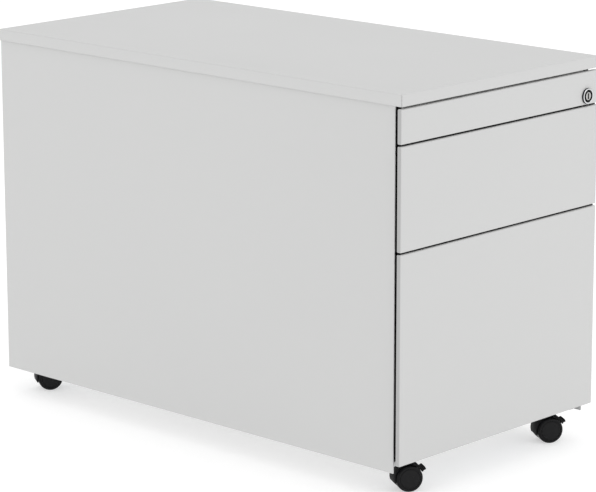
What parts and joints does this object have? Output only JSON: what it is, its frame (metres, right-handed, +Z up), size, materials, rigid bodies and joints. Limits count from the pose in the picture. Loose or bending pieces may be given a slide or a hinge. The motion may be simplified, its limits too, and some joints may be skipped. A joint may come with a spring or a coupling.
{
  "type": "metal filing cabinet",
  "caption": "Low mobile steel pedestal with a shallow lockable pencil drawer, a box drawer and a deep hanging-file drawer with side finger grips, on braked twin-wheel casters.",
  "frame": {"origin": "on the floor, under the middle of the cabinet's footprint, with the lock counted in its depth", "axes": "+Z up, -Y towards the user who opens the drawers, +X to that user's right"},
  "size_m": [0.42, 0.803, 0.563],
  "materials": {
    "powder_coated_steel": "light grey powder coat, fine texture, satin",
    "zinc_plated_steel": "bright zinc plate",
    "black_plastic": "moulded, fine grain",
    "caster_wheel_nylon": "hard nylon, satin",
    "chrome_lock": "polished nickel-chrome plate",
    "cast_iron_weight": "primed"
  },
  "bodies": {
    "carcass": {"top_cover": "powder_coated_steel", "top_stiffeners": "powder_coated_steel", "left_side_panel": "powder_coated_steel", "right_side_panel": "powder_coated_steel", "back_panel": "powder_coated_steel", "bottom_panel": "powder_coated_steel", "front_top_rail": "powder_coated_steel", "slide_uprights": "powder_coated_steel", "left_grip_channel": "black_plastic", "right_grip_channel": "black_plastic", "caster_beams": "zinc_plated_steel", "counterweight": "cast_iron_weight", "lock_bar_guides": "zinc_plated_steel", "pencil_slide_outers": "zinc_plated_steel", "box_slide_outers": "zinc_plated_steel", "file_slide_outers": "zinc_plated_steel", "caster_plates": "zinc_plated_steel", "caster_screws": "zinc_plated_steel"},
    "box_slide_middle": {"box_slide_middles": "zinc_plated_steel"},
    "file_slide_middle": {"file_slide_middles": "zinc_plated_steel"},
    "pencil_drawer": {"pencil_front": "powder_coated_steel", "pencil_inner_front": "powder_coated_steel", "pencil_drawer_tub": "powder_coated_steel", "pencil_tray": "black_plastic", "pencil_slide_inners": "zinc_plated_steel", "pencil_catch": "zinc_plated_steel", "lock_housing": "chrome_lock", "lock_nut": "zinc_plated_steel"},
    "lock_plug_and_cam": {"lock_plug": "chrome_lock", "lock_cam": "zinc_plated_steel"},
    "lock_bar": {"lock_bar": "zinc_plated_steel"},
    "box_drawer": {"box_front": "powder_coated_steel", "box_inner_front": "powder_coated_steel", "box_drawer_tub": "powder_coated_steel", "box_drawer_back": "powder_coated_steel", "box_dividers": "powder_coated_steel", "box_slide_inners": "zinc_plated_steel", "box_catch": "zinc_plated_steel"},
    "file_drawer": {"file_front": "powder_coated_steel", "file_inner_front": "powder_coated_steel", "file_drawer_tub": "powder_coated_steel", "file_drawer_back": "powder_coated_steel", "hanging_rails": "zinc_plated_steel", "file_slide_inners": "zinc_plated_steel", "file_catch": "zinc_plated_steel"},
    "front_left_caster": {"front_left_hood": "black_plastic"},
    "front_left_caster_left_wheel_spin": {"front_left_caster_left_wheel": "caster_wheel_nylon"},
    "front_left_caster_right_wheel_spin": {"front_left_caster_right_wheel": "caster_wheel_nylon"},
    "left_brake_lever": {"left_brake_lever": "black_plastic"},
    "front_right_caster": {"front_right_hood": "black_plastic"},
    "front_right_caster_left_wheel_spin": {"front_right_caster_left_wheel": "caster_wheel_nylon"},
    "front_right_caster_right_wheel_spin": {"front_right_caster_right_wheel": "caster_wheel_nylon"},
    "right_brake_lever": {"right_brake_lever": "black_plastic"},
    "rear_left_caster": {"rear_left_hood": "black_plastic"},
    "rear_left_caster_left_wheel_spin": {"rear_left_caster_left_wheel": "caster_wheel_nylon"},
    "rear_left_caster_right_wheel_spin": {"rear_left_caster_right_wheel": "caster_wheel_nylon"},
    "rear_right_caster": {"rear_right_hood": "black_plastic"},
    "rear_right_caster_left_wheel_spin": {"rear_right_caster_left_wheel": "caster_wheel_nylon"},
    "rear_right_caster_right_wheel_spin": {"rear_right_caster_right_wheel": "caster_wheel_nylon"}
  },
  "joints": [
    {"name": "pencil_drawer_slide", "type": "slide", "parent": "carcass", "child": "pencil_drawer", "axis": [0, -1, 0], "range_m": [0, 0.33]},
    {"name": "box_drawer_slide", "type": "slide", "parent": "carcass", "child": "box_drawer", "axis": [0, -1, 0], "range_m": [0, 0.7]},
    {"name": "box_middle_slide", "type": "slide", "parent": "carcass", "child": "box_slide_middle", "axis": [0, -1, 0], "range_m": [0, 0.35]},
    {"name": "file_drawer_slide", "type": "slide", "parent": "carcass", "child": "file_drawer", "axis": [0, -1, 0], "range_m": [0, 0.7]},
    {"name": "file_middle_slide", "type": "slide", "parent": "carcass", "child": "file_slide_middle", "axis": [0, -1, 0], "range_m": [0, 0.35]},
    {"name": "lock_turn", "type": "hinge", "parent": "pencil_drawer", "child": "lock_plug_and_cam", "pos_m": [0.184, -0.3985, 0.5085], "axis": [0, -1, 0], "range_deg": [0, 90]},
    {"name": "lock_bar_lift", "type": "slide", "parent": "carcass", "child": "lock_bar", "axis": [0, 0, 1], "range_m": [0, 0.0071]},
    {"name": "front_left_swivel", "type": "hinge", "parent": "carcass", "child": "front_left_caster", "pos_m": [-0.154, -0.3545, 0], "axis": [0, 0, 1], "continuous": true},
    {"name": "front_left_left_wheel_spin", "type": "hinge", "parent": "front_left_caster", "child": "front_left_caster_left_wheel_spin", "pos_m": [-0.14843, -0.35785, 0.019], "axis": [0.515, 0.8572, 0], "continuous": true},
    {"name": "front_left_right_wheel_spin", "type": "hinge", "parent": "front_left_caster", "child": "front_left_caster_right_wheel_spin", "pos_m": [-0.14843, -0.35785, 0.019], "axis": [0.515, 0.8572, 0], "continuous": true},
    {"name": "left_brake_press", "type": "hinge", "parent": "front_left_caster", "child": "left_brake_lever", "pos_m": [-0.13986, -0.363, 0.03781], "axis": [0.515, 0.8572, 0], "range_deg": [0, 4]},
    {"name": "front_right_swivel", "type": "hinge", "parent": "carcass", "child": "front_right_caster", "pos_m": [0.154, -0.3545, 0], "axis": [0, 0, 1], "continuous": true},
    {"name": "front_right_left_wheel_spin", "type": "hinge", "parent": "front_right_caster", "child": "front_right_caster_left_wheel_spin", "pos_m": [0.15957, -0.35785, 0.019], "axis": [0.515, 0.8572, 0], "continuous": true},
    {"name": "front_right_right_wheel_spin", "type": "hinge", "parent": "front_right_caster", "child": "front_right_caster_right_wheel_spin", "pos_m": [0.15957, -0.35785, 0.019], "axis": [0.515, 0.8572, 0], "continuous": true},
    {"name": "right_brake_press", "type": "hinge", "parent": "front_right_caster", "child": "right_brake_lever", "pos_m": [0.16814, -0.363, 0.03781], "axis": [0.515, 0.8572, 0], "range_deg": [0, 4]},
    {"name": "rear_left_swivel", "type": "hinge", "parent": "carcass", "child": "rear_left_caster", "pos_m": [-0.154, 0.3775, 0], "axis": [0, 0, 1], "continuous": true},
    {"name": "rear_left_left_wheel_spin", "type": "hinge", "parent": "rear_left_caster", "child": "rear_left_caster_left_wheel_spin", "pos_m": [-0.14843, 0.37415, 0.019], "axis": [0.515, 0.8572, 0], "continuous": true},
    {"name": "rear_left_right_wheel_spin", "type": "hinge", "parent": "rear_left_caster", "child": "rear_left_caster_right_wheel_spin", "pos_m": [-0.14843, 0.37415, 0.019], "axis": [0.515, 0.8572, 0], "continuous": true},
    {"name": "rear_right_swivel", "type": "hinge", "parent": "carcass", "child": "rear_right_caster", "pos_m": [0.154, 0.3775, 0], "axis": [0, 0, 1], "continuous": true},
    {"name": "rear_right_left_wheel_spin", "type": "hinge", "parent": "rear_right_caster", "child": "rear_right_caster_left_wheel_spin", "pos_m": [0.15957, 0.37415, 0.019], "axis": [0.515, 0.8572, 0], "continuous": true},
    {"name": "rear_right_right_wheel_spin", "type": "hinge", "parent": "rear_right_caster", "child": "rear_right_caster_right_wheel_spin", "pos_m": [0.15957, 0.37415, 0.019], "axis": [0.515, 0.8572, 0], "continuous": true}
  ],
  "couplings": [
    {"joint": "box_middle_slide", "follows": "box_drawer_slide", "ratio": 0.5},
    {"joint": "file_middle_slide", "follows": "file_drawer_slide", "ratio": 0.5},
    {"joint": "lock_bar_lift", "follows": "lock_turn", "m_per_rad": 0.0045016}
  ]
}
